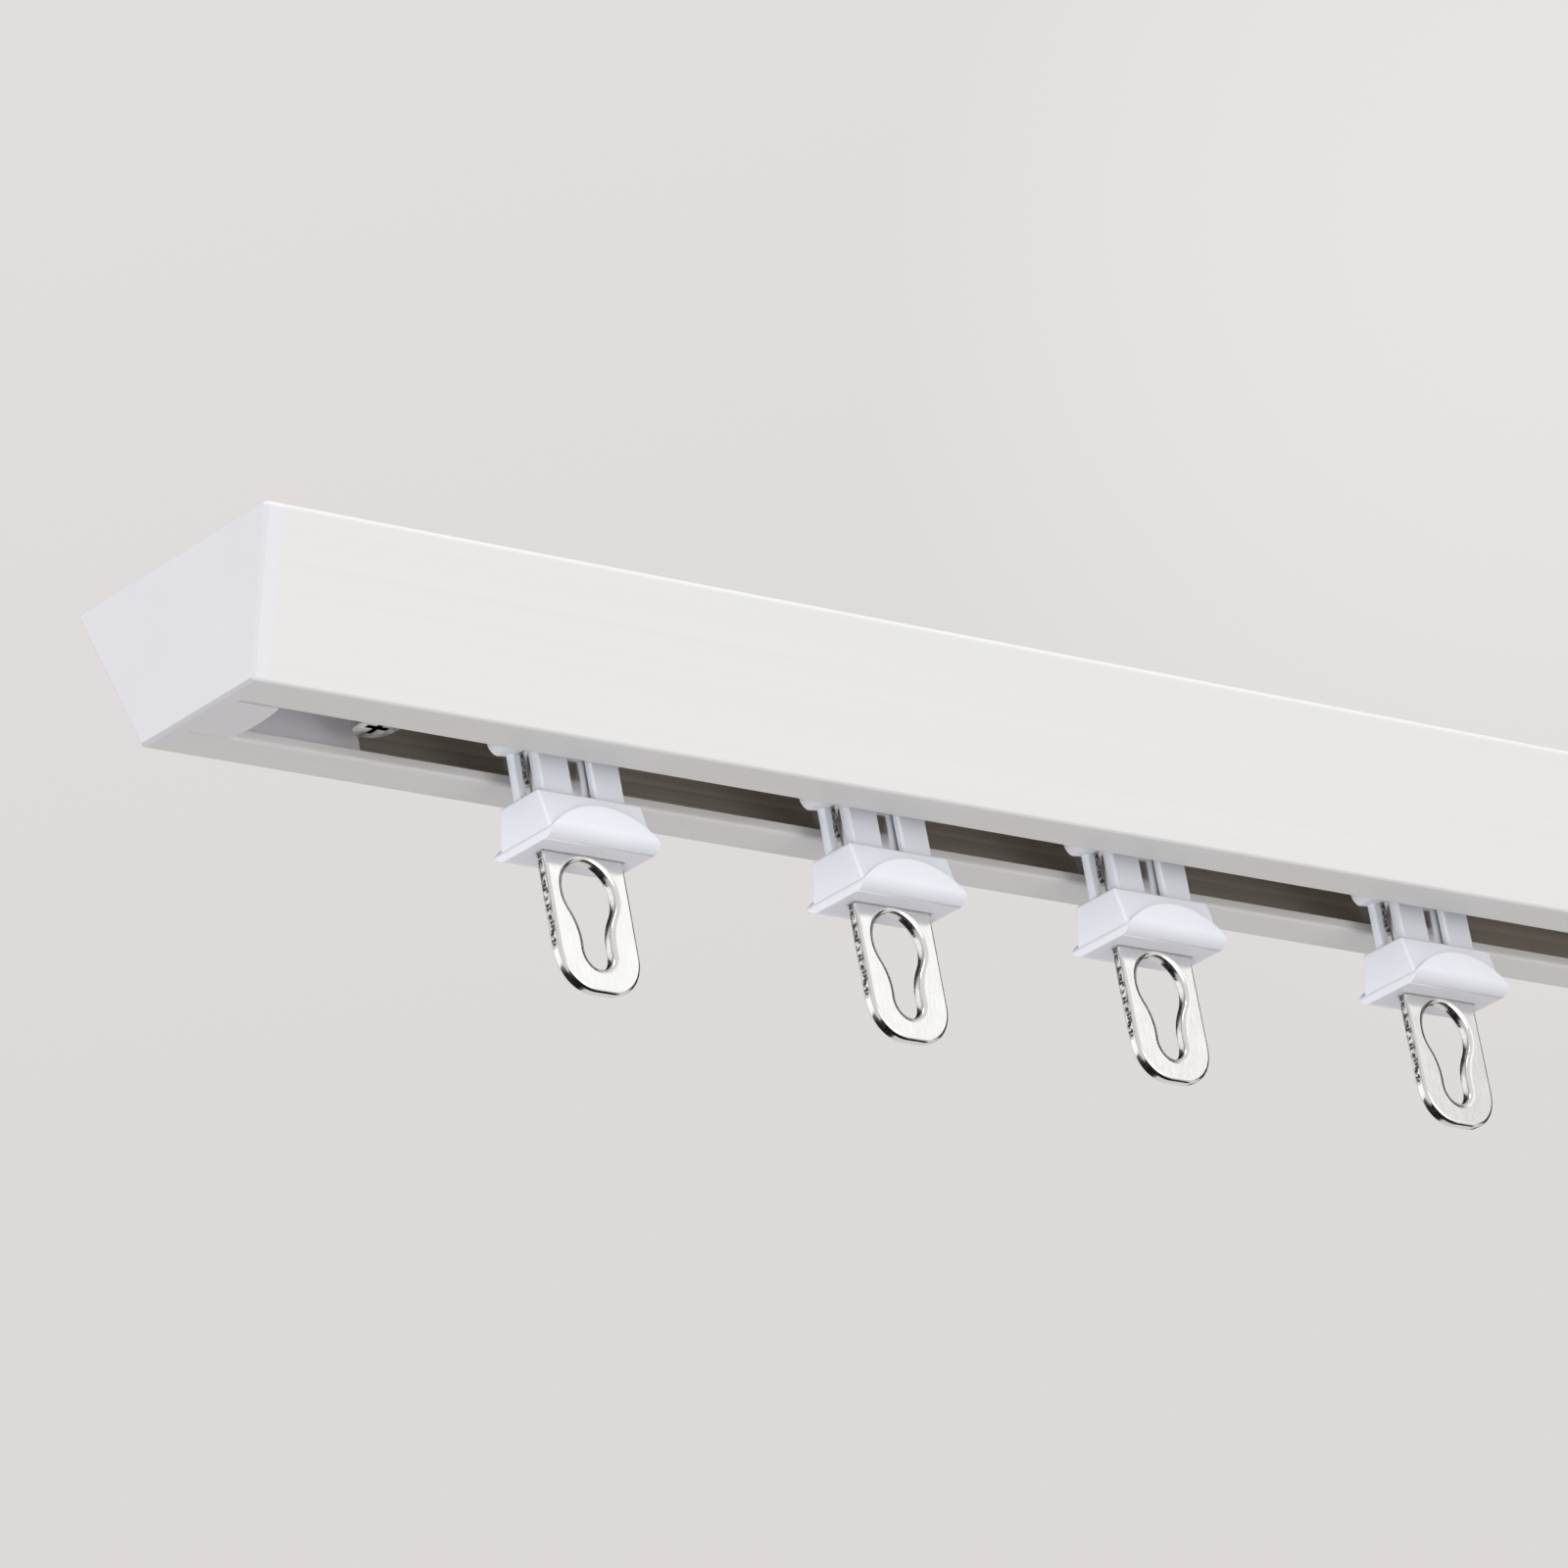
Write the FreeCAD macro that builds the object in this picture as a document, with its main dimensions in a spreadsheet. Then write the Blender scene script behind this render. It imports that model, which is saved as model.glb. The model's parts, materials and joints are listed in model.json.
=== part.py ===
import FreeCAD, Part
import os

import Sketcher

# Ceiling curtain track: a hollow aluminium rail with a slot underneath, an end cap clamped into each end,
# and wheeled gliders whose steel eye plates hang through the slot.
# Millimetres. X runs along the rail, Y across it, Z up. The origin is the middle of the face on the ceiling.
# Each piece is drawn about its own middle, with height zero at the underside of the rail.

GLIDER_COUNT = 4

SIZES = {
    # Rail: a trapezoid section, wide against the ceiling.
    "rail_length": 395.0,
    "rail_height": 20.0,
    "ceiling_width": 35.6,
    "sole_width": 20.8,
    "slot_width": 9.2,
    "lip_thickness": 1.45,
    "side_thickness": 1.5,
    "roof_thickness": 1.5,
    "rail_edge_radius": 0.6,
    "slot_edge_radius": 0.5,
    "fixing_hole_diameter": 4.5,
    "fixing_hole_spacing": 240.0,
    # End cap: a cover plate, a tongue in the slot and a U-shaped insert that stands on the lips.
    "cap_thickness": 2.5,
    "cap_edge_chamfer": 0.4,
    "insert_length": 28.2,
    "insert_play": 0.15,
    "insert_gap": 12.0,
    "insert_leg_height": 5.5,
    "bridge_thickness": 3.0,
    "tongue_length": 6.8,
    "tongue_thickness": 2.6,
    "tongue_bow": 0.5,
    "tongue_play": 0.1,
    # Clamp screw: it turns in the insert's bridge and its tip bears on the roof of the rail.
    "screw_diameter": 3.0,
    "screw_play": 0.05,
    "screw_end_distance": 2.4,
    "screw_head_diameter": 6.0,
    "screw_head_height": 2.0,
    "screw_head_rise": 0.85,
    "recess_length": 3.4,
    "recess_width": 0.8,
    "recess_depth": 1.0,
    # Carrier head: the bar inside the channel that holds the axle.
    "head_length": 20.0,
    "head_thickness": 4.0,
    "head_rise": 0.95,
    "head_over_axle": 3.85,
    "head_corner_radius": 1.5,
    # Carrier neck: two columns on each face of the plate, the back pair turned half a turn from the front pair.
    "neck_reach": 7.45,
    "neck_inset": 1.55,
    "window_width": 3.5,
    "window_shift": 0.87,
    # Carrier collar: a tapered block with an arched vault across it, just below the rail.
    "collar_drop": 3.9,
    "collar_height": 6.7,
    "collar_length": 17.6,
    "collar_width": 11.0,
    "collar_rim": 1.1,
    "collar_round": 2.0,
    "arch_rise": 3.5,
    "block_length": 16.8,
    "block_top_width": 7.0,
    "block_foot_width": 9.4,
    # Eye plate: its pear-shaped eye is a large round, a small round and two hollow flanks.
    "plate_width": 13.0,
    "plate_thickness": 1.6,
    "plate_drop": 17.6,
    "plate_corner_radius": 5.2,
    "plate_over_axle": 2.65,
    "eye_drop": 4.75,
    "eye_radius": 4.2,
    "eye_span": 7.45,
    "eye_foot_radius": 2.3,
    "eye_flank_radius": 8.0,
    # Axle and wheels: the axle turns in the carrier and the plate, and the wheels are pressed on its ends.
    "axle_diameter": 2.0,
    "axle_play": 0.05,
    "axle_overhang": 0.4,
    "wheel_diameter": 6.0,
    "hub_diameter": 3.6,
    "hub_gap": 0.2,
    "tread_width": 2.2,
    "tread_inset": 0.15,
    "rolling_gap": 0.1,
    # Where each glider stands, counted from the end of the left cap's insert.
    "glider_1_place": 27.0,
    "glider_2_place": 78.4,
    "glider_3_place": 124.35,
    "glider_4_place": 176.9,
}

doc = FreeCAD.newDocument("CurtainTrack")
sheet = doc.addObject("Spreadsheet::Sheet", "Sizes")
for row, (alias, number) in enumerate(SIZES.items(), start=1):
    sheet.set(f"A{row}", alias)
    sheet.set(f"B{row}", str(number))
    sheet.setAlias(f"B{row}", alias)
doc.recompute()

# Heights above the underside of the rail, and distances from the middle, that several pieces share.
UNDERSIDE = "0"
LIP_TOP = "Sizes.lip_thickness"
RAIL_TOP = "Sizes.rail_height"
ROOF_UNDERSIDE = "(Sizes.rail_height - Sizes.roof_thickness)"
SLOT_HALF = "(Sizes.slot_width / 2)"
RAIL_END = "(Sizes.rail_length / 2)"
SCREW_PLACE = "(Sizes.insert_length - Sizes.screw_end_distance)"
AXLE_HEIGHT = "(Sizes.lip_thickness + Sizes.rolling_gap + Sizes.wheel_diameter / 2)"
AXLE_BORE = "(Sizes.axle_diameter + 2 * Sizes.axle_play)"
HEAD_BOTTOM = "(Sizes.lip_thickness + Sizes.head_rise)"
HEAD_TOP = f"({AXLE_HEIGHT} + Sizes.head_over_axle)"
PLATE_TOP = f"({AXLE_HEIGHT} + Sizes.plate_over_axle)"
COLLAR_TOP = "(-Sizes.collar_drop)"
COLLAR_BOTTOM = "(-Sizes.collar_drop - Sizes.collar_height)"
COLLAR_EAVE = f"({COLLAR_BOTTOM} + Sizes.collar_rim)"
HUB_START = "(Sizes.head_thickness / 2 + Sizes.hub_gap)"
TREAD_START = f"({SLOT_HALF} + Sizes.tread_inset)"
TREAD_END = f"({TREAD_START} + Sizes.tread_width)"
INSERT_END = f"(Sizes.insert_length - {RAIL_END})"

ALONG = FreeCAD.Vector(1, 0, 0)
ACROSS = FreeCAD.Vector(0, 1, 0)
UP = FreeCAD.Vector(0, 0, 1)
START, END, CENTRE = range(1, 4)
NEAR = 1e-4


def value(expression):
    """The number that an expression of sheet cells comes to."""
    return float(sheet.evalExpression(expression))


def outer_half(height):
    """Half the rail's outside width at a height."""
    taper = "(Sizes.ceiling_width - Sizes.sole_width) / Sizes.rail_height"
    return f"((Sizes.sole_width + {taper} * ({height})) / 2)"


def inner_half(height):
    """Half the channel's width at a height."""
    return f"({outer_half(height)} - Sizes.side_thickness)"


def add_body(label):
    body = doc.addObject("PartDesign::Body", label)
    body.Label = label
    return body


def add_copy(master, label):
    copy = doc.addObject("App::Link", label)
    copy.Label = label
    copy.setLink(master)
    return copy


def place(piece, along="0", half_turn=False):
    """Stands a piece at its place along the rail, below the ceiling, turned end for end if asked."""
    if half_turn:
        piece.Placement.Rotation = FreeCAD.Rotation(UP, 180)
    piece.setExpression("Placement.Base.x", along)
    piece.setExpression("Placement.Base.z", f"-{RAIL_TOP}")


def add_sketch(body, name, plane, lift=None):
    """An empty sketch on one of the body's own planes, lifted off it if asked."""
    sketch = body.newObject("Sketcher::SketchObject", name)
    support = next(item for item in body.Origin.OriginFeatures if item.Role == plane)
    sketch.AttachmentSupport = [(support, "")]
    sketch.MapMode = "FlatFace"
    if lift:
        sketch.setExpression("AttachmentOffset.Base.z", lift)
    return sketch


def bind(sketch, constraint, expression):
    number = sketch.addConstraint(constraint)
    sketch.setExpression(f"Constraints[{number}]", expression)


def join(sketch, geometry, end, other, other_end, kind="Coincident"):
    sketch.addConstraint(Sketcher.Constraint(kind, geometry, end, other, other_end))


def vector(across, up):
    return FreeCAD.Vector(value(across), value(up), 0)


def pin(sketch, geometry, position, across, up):
    """Holds a point of a sketch at two expressions."""
    bind(sketch, Sketcher.Constraint("DistanceX", -1, 1, geometry, position, value(across)), across)
    bind(sketch, Sketcher.Constraint("DistanceY", -1, 1, geometry, position, value(up)), up)


def add_run(sketch, corners):
    """Joined straight lines through corners, each a pair of expressions. Returns the first and last line."""
    first = sketch.GeometryCount
    points = [vector(*corner) for corner in corners]
    for start, end in zip(points, points[1:]):
        sketch.addGeometry(Part.LineSegment(start, end))
    last = sketch.GeometryCount - 1
    for line in range(first, last):
        join(sketch, line, END, line + 1, START)
    for line, corner in zip(range(first, last + 1), corners):
        pin(sketch, line, START, *corner)
    return first, last


def add_polygon(sketch, corners):
    first, last = add_run(sketch, corners + corners[:1])
    join(sketch, last, END, first, START)


def add_arched(sketch, corners, half_width, rise):
    """An anticlockwise run of lines whose two ends are joined by an arc that bulges outwards."""
    first, last = add_run(sketch, corners)
    pin(sketch, last, END, *corners[-1])
    start = vector(*corners[-1])
    chord = vector(*corners[0]) - start
    outwards = FreeCAD.Vector(chord.y, -chord.x, 0).normalize()
    crown = start + chord / 2 + outwards * value(rise)
    arc = sketch.addGeometry(Part.Arc(start, crown, start + chord))
    join(sketch, last, END, arc, START)
    join(sketch, arc, END, first, START)
    radius = f"(({half_width} ^ 2 + {rise} ^ 2) / (2 * {rise}))"
    bind(sketch, Sketcher.Constraint("Radius", arc, value(radius)), radius)


def add_circle(sketch, across, up, diameter):
    circle = sketch.addGeometry(Part.Circle(vector(across, up), UP, value(diameter) / 2))
    pin(sketch, circle, CENTRE, across, up)
    bind(sketch, Sketcher.Constraint("Diameter", circle, value(diameter)), diameter)


def mirrored(corners):
    """Corners on the right, then their mirror images back along the left."""
    return corners + [(f"-({across})", up) for across, up in reversed(corners)]


def half_turned(corners):
    return [(f"-({across})", f"-({up})") for across, up in corners]


def pad(body, name, sketch, length, symmetric=True, backwards=False):
    feature = body.newObject("PartDesign::Pad", name)
    feature.Profile = sketch
    feature.setExpression("Length", length)
    feature.Reversed = backwards
    if symmetric:
        feature.SideType = "Symmetric"


def cut(body, name, sketch, depth=None, symmetric=True, backwards=False):
    """A pocket to a depth, or right through with none."""
    feature = body.newObject("PartDesign::Pocket", name)
    feature.Profile = sketch
    feature.Reversed = backwards
    if symmetric:
        feature.SideType = "Symmetric"
    if depth:
        feature.setExpression("Length", depth)
    else:
        feature.Type = "ThroughAll"


def turn(body, name, sketch):
    """A solid of revolution about the sketch's upright axis."""
    feature = body.newObject("PartDesign::Revolution", name)
    feature.Profile = sketch
    feature.ReferenceAxis = (sketch, ["V_Axis"])


def chosen_edges(body, test):
    """The body's last feature, with the names of those of its edges that pass a test."""
    doc.recompute()
    edges = enumerate(body.Tip.Shape.Edges, start=1)
    return body.Tip, [f"Edge{index}" for index, edge in edges if test(edge)]


def fillet(body, name, radius, test):
    edges = chosen_edges(body, test)
    feature = body.newObject("PartDesign::Fillet", name)
    feature.Base = edges
    feature.setExpression("Radius", radius)


def chamfer(body, name, size, test):
    edges = chosen_edges(body, test)
    feature = body.newObject("PartDesign::Chamfer", name)
    feature.Base = edges
    feature.setExpression("Size", size)


def runs(edge, axis):
    """Whether an edge is straight and parallel to an axis."""
    return edge.Curve.TypeId == "Part::GeomLine" and abs(edge.Curve.Direction.dot(axis)) > 1 - NEAR


def stands_at(edge, **places):
    """Whether an edge's middle lies at the given coordinates."""
    middle = edge.BoundBox.Center
    return all(abs(getattr(middle, axis) - number) < NEAR for axis, number in places.items())


def make_rail():
    body = add_body("rail")
    section = add_sketch(body, "rail_section", "YZ_Plane")
    outside = mirrored([
        (SLOT_HALF, LIP_TOP),
        (SLOT_HALF, UNDERSIDE),
        ("Sizes.sole_width / 2", UNDERSIDE),
        ("Sizes.ceiling_width / 2", RAIL_TOP),
    ])
    inside = mirrored([
        (inner_half(LIP_TOP), LIP_TOP),
        (inner_half(ROOF_UNDERSIDE), ROOF_UNDERSIDE),
    ])
    add_polygon(section, outside + inside[::-1])
    pad(body, "rail_extrusion", section, "Sizes.rail_length")

    slot_half = value(SLOT_HALF)
    heights = (value(UNDERSIDE), value(RAIL_TOP))

    def is_slot_edge(edge):
        return runs(edge, ALONG) and any(stands_at(edge, y=side, z=0) for side in (slot_half, -slot_half))

    def is_outer_edge(edge):
        outside = any(stands_at(edge, z=height) for height in heights)
        return runs(edge, ALONG) and outside and abs(edge.BoundBox.Center.y) > slot_half + NEAR

    fillet(body, "slot_rounding", "Sizes.slot_edge_radius", is_slot_edge)
    fillet(body, "rail_rounding", "Sizes.rail_edge_radius", is_outer_edge)

    holes = add_sketch(body, "fixing_hole_places", "XY_Plane", lift=RAIL_TOP)
    for sign in ("", "-"):
        add_circle(holes, f"{sign}Sizes.fixing_hole_spacing / 2", "0", "Sizes.fixing_hole_diameter")
    cut(body, "fixing_holes", holes, symmetric=False)
    place(body)
    return body


def make_end_cap():
    """The left cap. Distances along it count from the end of the rail, inwards."""
    body = add_body("end_cap_left")
    cover = add_sketch(body, "cover_outline", "YZ_Plane")
    add_polygon(cover, mirrored([
        ("Sizes.sole_width / 2", UNDERSIDE),
        ("Sizes.ceiling_width / 2", RAIL_TOP),
    ]))
    pad(body, "cover", cover, "Sizes.cap_thickness", symmetric=False, backwards=True)
    outer_face = -value("Sizes.cap_thickness")
    fillet(body, "cover_corners", "Sizes.rail_edge_radius", lambda edge: runs(edge, ALONG))
    chamfer(body, "cover_rim", "Sizes.cap_edge_chamfer", lambda edge: stands_at(edge, x=outer_face))

    leg_half = "(Sizes.insert_gap / 2)"
    bridge_underside = "(Sizes.lip_thickness + Sizes.insert_leg_height)"
    bridge_top = f"({bridge_underside} + Sizes.bridge_thickness)"
    insert = add_sketch(body, "insert_section", "YZ_Plane")
    add_polygon(insert, mirrored([
        (leg_half, bridge_underside),
        (leg_half, LIP_TOP),
        (f"{inner_half(LIP_TOP)} - Sizes.insert_play", LIP_TOP),
        (f"{inner_half(bridge_top)} - Sizes.insert_play", bridge_top),
    ]))
    pad(body, "insert", insert, "Sizes.insert_length", symmetric=False)

    tongue_half = f"({SLOT_HALF} - Sizes.tongue_play)"
    shoulder = "Sizes.tongue_length - Sizes.tongue_bow"
    tongue = add_sketch(body, "tongue_outline", "XY_Plane")
    add_arched(tongue, [
        (shoulder, tongue_half),
        ("0", tongue_half),
        ("0", f"-{tongue_half}"),
        (shoulder, f"-{tongue_half}"),
    ], tongue_half, "Sizes.tongue_bow")
    pad(body, "tongue", tongue, "Sizes.tongue_thickness", symmetric=False)

    bore = add_sketch(body, "screw_bore_place", "XY_Plane")
    add_circle(bore, SCREW_PLACE, "0", "Sizes.screw_diameter + 2 * Sizes.screw_play")
    cut(body, "screw_bore", bore)
    place(body, along=f"-{RAIL_END}")
    return body


def make_clamp_screw():
    """The left screw, about its own axis, head down."""
    body = add_body("clamp_screw_left")
    head_face = "(Sizes.lip_thickness + Sizes.screw_head_rise)"
    head_back = f"({head_face} + Sizes.screw_head_height)"
    section = add_sketch(body, "screw_section", "XZ_Plane")
    add_polygon(section, [
        ("0", head_face),
        ("Sizes.screw_head_diameter / 2", head_face),
        ("Sizes.screw_head_diameter / 2", head_back),
        ("Sizes.screw_diameter / 2", head_back),
        ("Sizes.screw_diameter / 2", ROOF_UNDERSIDE),
        ("0", ROOF_UNDERSIDE),
    ])
    turn(body, "screw_turning", section)

    recess = add_sketch(body, "recess_outline", "XY_Plane", lift=head_face)
    arm = "(Sizes.recess_length / 2)"
    side = "(Sizes.recess_width / 2)"
    quarter = [(arm, f"-{side}"), (arm, side), (side, side)]
    corners = []
    for _ in range(4):
        corners += quarter
        quarter = [(f"-({up})", across) for across, up in quarter]
    add_polygon(recess, corners)
    cut(body, "cross_recess", recess, "Sizes.recess_depth", symmetric=False, backwards=True)
    place(body, along=f"-{RAIL_END} + {SCREW_PLACE}")
    return body


def add_corner_cutter(sketch, side, radius):
    """What lies outside a rounding of the collar's bottom edge on one side, 1 for the back and -1 for the front."""
    face = f"{side} * Sizes.collar_width / 2"
    inset = f"{face} - {side} * {radius}"
    top = f"{COLLAR_BOTTOM} + {radius}"
    first, last = add_run(sketch, [(inset, COLLAR_BOTTOM), (face, COLLAR_BOTTOM), (face, top)])
    pin(sketch, last, END, face, top)
    lean = FreeCAD.Vector(side, -1, 0).normalize()
    crown = vector(inset, top) + lean * value(radius)
    arc = sketch.addGeometry(Part.Arc(vector(face, top), crown, vector(inset, COLLAR_BOTTOM)))
    top_end, bottom_end = (END, START) if side > 0 else (START, END)
    join(sketch, last, END, arc, top_end)
    join(sketch, arc, bottom_end, first, START)
    bind(sketch, Sketcher.Constraint("Radius", arc, value(radius)), radius)


def make_carrier(label):
    body = add_body(label)
    head = add_sketch(body, "head_outline", "XZ_Plane")
    add_polygon(head, mirrored([("Sizes.head_length / 2", HEAD_BOTTOM), ("Sizes.head_length / 2", HEAD_TOP)]))
    pad(body, "head", head, "Sizes.head_thickness")
    fillet(body, "head_corners", "Sizes.head_corner_radius", lambda edge: runs(edge, ACROSS))

    near_end = "-(Sizes.neck_reach - Sizes.neck_inset)"
    window_start = "Sizes.window_shift - Sizes.window_width / 2"
    window_end = "Sizes.window_shift + Sizes.window_width / 2"
    front = "-Sizes.head_thickness / 2"
    plate_side = "-Sizes.plate_thickness / 2"
    columns = add_sketch(body, "neck_columns", "XY_Plane", lift=COLLAR_TOP)
    for start, end in ((near_end, window_start), (window_end, "Sizes.neck_reach")):
        column = [(start, front), (end, front), (end, plate_side), (start, plate_side)]
        add_polygon(columns, column)
        add_polygon(columns, half_turned(column))
    pad(body, "neck", columns, f"{HEAD_BOTTOM} - {COLLAR_TOP}", symmetric=False)

    block = add_sketch(body, "block_section", "YZ_Plane")
    add_polygon(block, mirrored([
        ("Sizes.block_foot_width / 2", COLLAR_EAVE),
        ("Sizes.block_top_width / 2", COLLAR_TOP),
    ]))
    pad(body, "collar_block", block, "Sizes.block_length")

    collar_half = "(Sizes.collar_length / 2)"
    arch = add_sketch(body, "arch_outline", "XZ_Plane")
    add_arched(arch, [
        (f"-{collar_half}", COLLAR_EAVE),
        (f"-{collar_half}", COLLAR_BOTTOM),
        (collar_half, COLLAR_BOTTOM),
        (collar_half, COLLAR_EAVE),
    ], collar_half, "Sizes.arch_rise")
    pad(body, "collar_arch", arch, "Sizes.collar_width")

    corners = add_sketch(body, "collar_corners", "YZ_Plane")
    for side in (1, -1):
        add_corner_cutter(corners, side, "Sizes.collar_round")
    cut(body, "collar_rounding", corners)

    slot = add_sketch(body, "plate_slot_outline", "XZ_Plane")
    add_polygon(slot, mirrored([("Sizes.plate_width / 2", COLLAR_BOTTOM), ("Sizes.plate_width / 2", PLATE_TOP)]))
    cut(body, "plate_slot", slot, "Sizes.plate_thickness")
    bore = add_sketch(body, "carrier_bore_place", "XZ_Plane")
    add_circle(bore, "0", AXLE_HEIGHT, AXLE_BORE)
    cut(body, "carrier_bore", bore)
    return body


def add_pear(sketch):
    """The eye: two rounds on the plate's middle line, joined by two hollow flanks that touch both."""
    top_height = f"{COLLAR_BOTTOM} - Sizes.eye_drop"
    foot_height = f"{top_height} - Sizes.eye_span"
    top_radius = value("Sizes.eye_radius")
    foot_radius = value("Sizes.eye_foot_radius")
    flank_radius = value("Sizes.eye_flank_radius")
    span = value("Sizes.eye_span")
    top = vector("0", top_height)
    foot = vector("0", foot_height)
    flank_to_top = top_radius + flank_radius
    flank_to_foot = foot_radius + flank_radius
    fall = (flank_to_top ** 2 - flank_to_foot ** 2 + span ** 2) / (2 * span)
    flank_away = (flank_to_top ** 2 - fall ** 2) ** 0.5
    right = top + FreeCAD.Vector(flank_away, -fall, 0)
    left = top + FreeCAD.Vector(-flank_away, -fall, 0)

    def touch(middle, radius, other):
        return middle + (other - middle).normalize() * radius

    top_right = touch(top, top_radius, right)
    top_left = touch(top, top_radius, left)
    foot_right = touch(foot, foot_radius, right)
    foot_left = touch(foot, foot_radius, left)
    crown = top + FreeCAD.Vector(0, top_radius, 0)
    sole = foot - FreeCAD.Vector(0, foot_radius, 0)
    right_waist = right - FreeCAD.Vector(flank_radius, 0, 0)
    left_waist = left + FreeCAD.Vector(flank_radius, 0, 0)

    upper = sketch.addGeometry(Part.Arc(top_right, crown, top_left))
    left_flank = sketch.addGeometry(Part.Arc(foot_left, left_waist, top_left))
    lower = sketch.addGeometry(Part.Arc(foot_left, sole, foot_right))
    right_flank = sketch.addGeometry(Part.Arc(top_right, right_waist, foot_right))
    radii = {
        upper: "Sizes.eye_radius",
        left_flank: "Sizes.eye_flank_radius",
        lower: "Sizes.eye_foot_radius",
        right_flank: "Sizes.eye_flank_radius",
    }
    for arc, radius in radii.items():
        bind(sketch, Sketcher.Constraint("Radius", arc, value(radius)), radius)
    pin(sketch, upper, CENTRE, "0", top_height)
    pin(sketch, lower, CENTRE, "0", foot_height)
    join(sketch, upper, END, left_flank, END, "Tangent")
    join(sketch, left_flank, START, lower, START, "Tangent")
    join(sketch, lower, END, right_flank, END, "Tangent")
    join(sketch, right_flank, START, upper, START, "Tangent")


def make_eye_plate(label):
    body = add_body(label)
    bottom = f"({COLLAR_BOTTOM} - Sizes.plate_drop)"
    outline = add_sketch(body, "plate_outline", "XZ_Plane")
    add_polygon(outline, mirrored([("Sizes.plate_width / 2", bottom), ("Sizes.plate_width / 2", PLATE_TOP)]))
    pad(body, "plate", outline, "Sizes.plate_thickness")
    bottom_height = value(bottom)
    corner_radius = "min(Sizes.plate_corner_radius; 0.48 * Sizes.plate_width)"
    fillet(body, "plate_corners", corner_radius,
           lambda edge: runs(edge, ACROSS) and stands_at(edge, z=bottom_height))

    eye = add_sketch(body, "eye_outline", "XZ_Plane")
    add_pear(eye)
    cut(body, "eye", eye)
    bore = add_sketch(body, "plate_bore_place", "XZ_Plane")
    add_circle(bore, "0", AXLE_HEIGHT, AXLE_BORE)
    cut(body, "plate_bore", bore)
    return body


def make_axle(label):
    body = add_body(label)
    section = add_sketch(body, "axle_section", "XZ_Plane")
    add_circle(section, "0", AXLE_HEIGHT, "Sizes.axle_diameter")
    pad(body, "pin", section, f"2 * ({TREAD_END} + Sizes.axle_overhang)")
    return body


def make_wheel(label):
    """The back wheel: a tread above the lip and a hub that keeps it off the carrier."""
    body = add_body(label)
    section = add_sketch(body, "wheel_section", "XY_Plane", lift=AXLE_HEIGHT)
    add_polygon(section, [
        ("Sizes.axle_diameter / 2", HUB_START),
        ("Sizes.hub_diameter / 2", HUB_START),
        ("Sizes.hub_diameter / 2", TREAD_START),
        ("Sizes.wheel_diameter / 2", TREAD_START),
        ("Sizes.wheel_diameter / 2", TREAD_END),
        ("Sizes.axle_diameter / 2", TREAD_END),
    ])
    turn(body, "wheel_turning", section)
    return body


pieces = [make_rail()]

left_cap = make_end_cap()
right_cap = add_copy(left_cap, "end_cap_right")
place(right_cap, along=RAIL_END, half_turn=True)
left_screw = make_clamp_screw()
right_screw = add_copy(left_screw, "clamp_screw_right")
place(right_screw, along=f"{RAIL_END} - {SCREW_PLACE}", half_turn=True)
pieces += [left_cap, right_cap, left_screw, right_screw]

# The first glider's pieces are drawn once, and every other glider is a set of copies of them.
masters = {}
for number in range(1, GLIDER_COUNT + 1):
    if number == 1:
        glider = {
            "carrier": make_carrier("glider_1_carrier"),
            "eye_plate": make_eye_plate("glider_1_eye_plate"),
            "axle": make_axle("glider_1_axle"),
            "wheel_back": make_wheel("glider_1_wheel_back"),
        }
        masters = dict(glider)
    else:
        glider = {name: add_copy(master, f"glider_{number}_{name}") for name, master in masters.items()}
    glider["wheel_front"] = add_copy(masters["wheel_back"], f"glider_{number}_wheel_front")
    along = f"{INSERT_END} + Sizes.glider_{number}_place"
    for name, piece in glider.items():
        place(piece, along, half_turn=name == "wheel_front")
        pieces.append(piece)

doc.recompute()

for item in doc.Objects:
    if "Invalid" in item.State or "Error" in item.State:
        raise RuntimeError(f"{item.Label} failed: {item.State}")

os.makedirs("parts", exist_ok=True)
for piece in pieces:
    shape = Part.getShape(piece)
    if shape.isNull() or not shape.isValid() or len(shape.Solids) != 1:
        raise RuntimeError(f"{piece.Label} is not one valid solid")
    shape.exportStep(f"parts/{piece.Label}.step")
    print(piece.Label, round(shape.Volume, 2), "cubic millimetres")
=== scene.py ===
# %% [markdown]
# A curtain track hangs under a ceiling: a white coated aluminium rail with a slot in its underside,
# an end cap at each end, and gliders that run in the channel and hang through the slot.
# The imported solids give every piece its place, so the first step only loads them and keeps their box.
# Colours are judged against a pale wall, so the view transform is Standard.

import json
import math

import bmesh
import bpy
from mathutils import Matrix, Vector

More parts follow.
